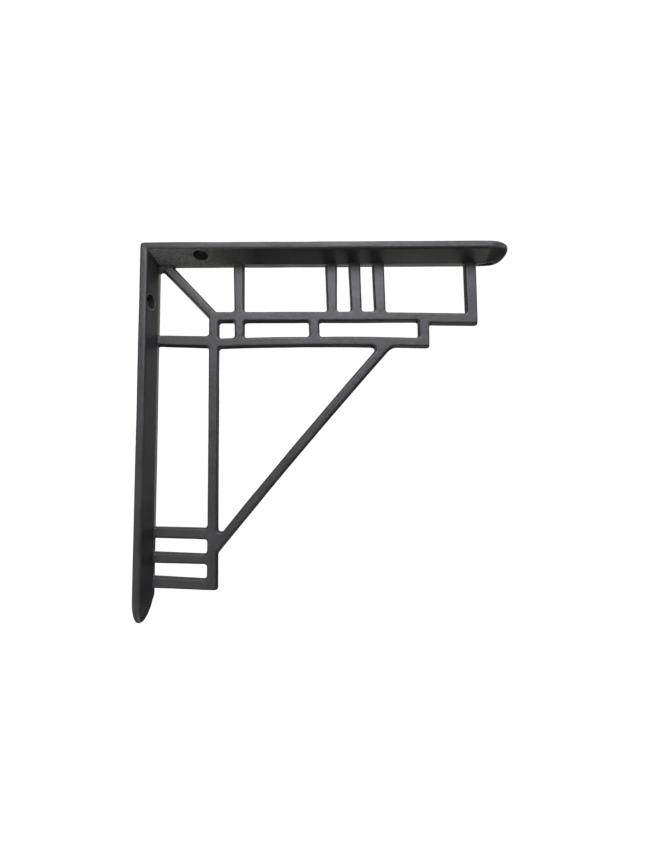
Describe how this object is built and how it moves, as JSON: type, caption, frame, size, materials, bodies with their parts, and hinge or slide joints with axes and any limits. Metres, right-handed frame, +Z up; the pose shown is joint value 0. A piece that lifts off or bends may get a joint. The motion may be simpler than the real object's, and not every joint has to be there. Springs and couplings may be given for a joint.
{
  "type": "decorative shelf bracket",
  "caption": "Right-angle wall bracket with crowned flanges and a flat geometric lattice brace, for carrying a shelf.",
  "frame": {"origin": "centre of the flat back of the wall flange, the face that lies against the wall", "axes": "+X out of the wall, +Y across the flanges, +Z up towards the shelf"},
  "size_m": [0.2028, 0.0254, 0.202],
  "materials": {
    "iron": "satin black paint over rough cast iron"
  },
  "bodies": {
    "root": {"bracket": "iron"}
  },
  "joints": []
}
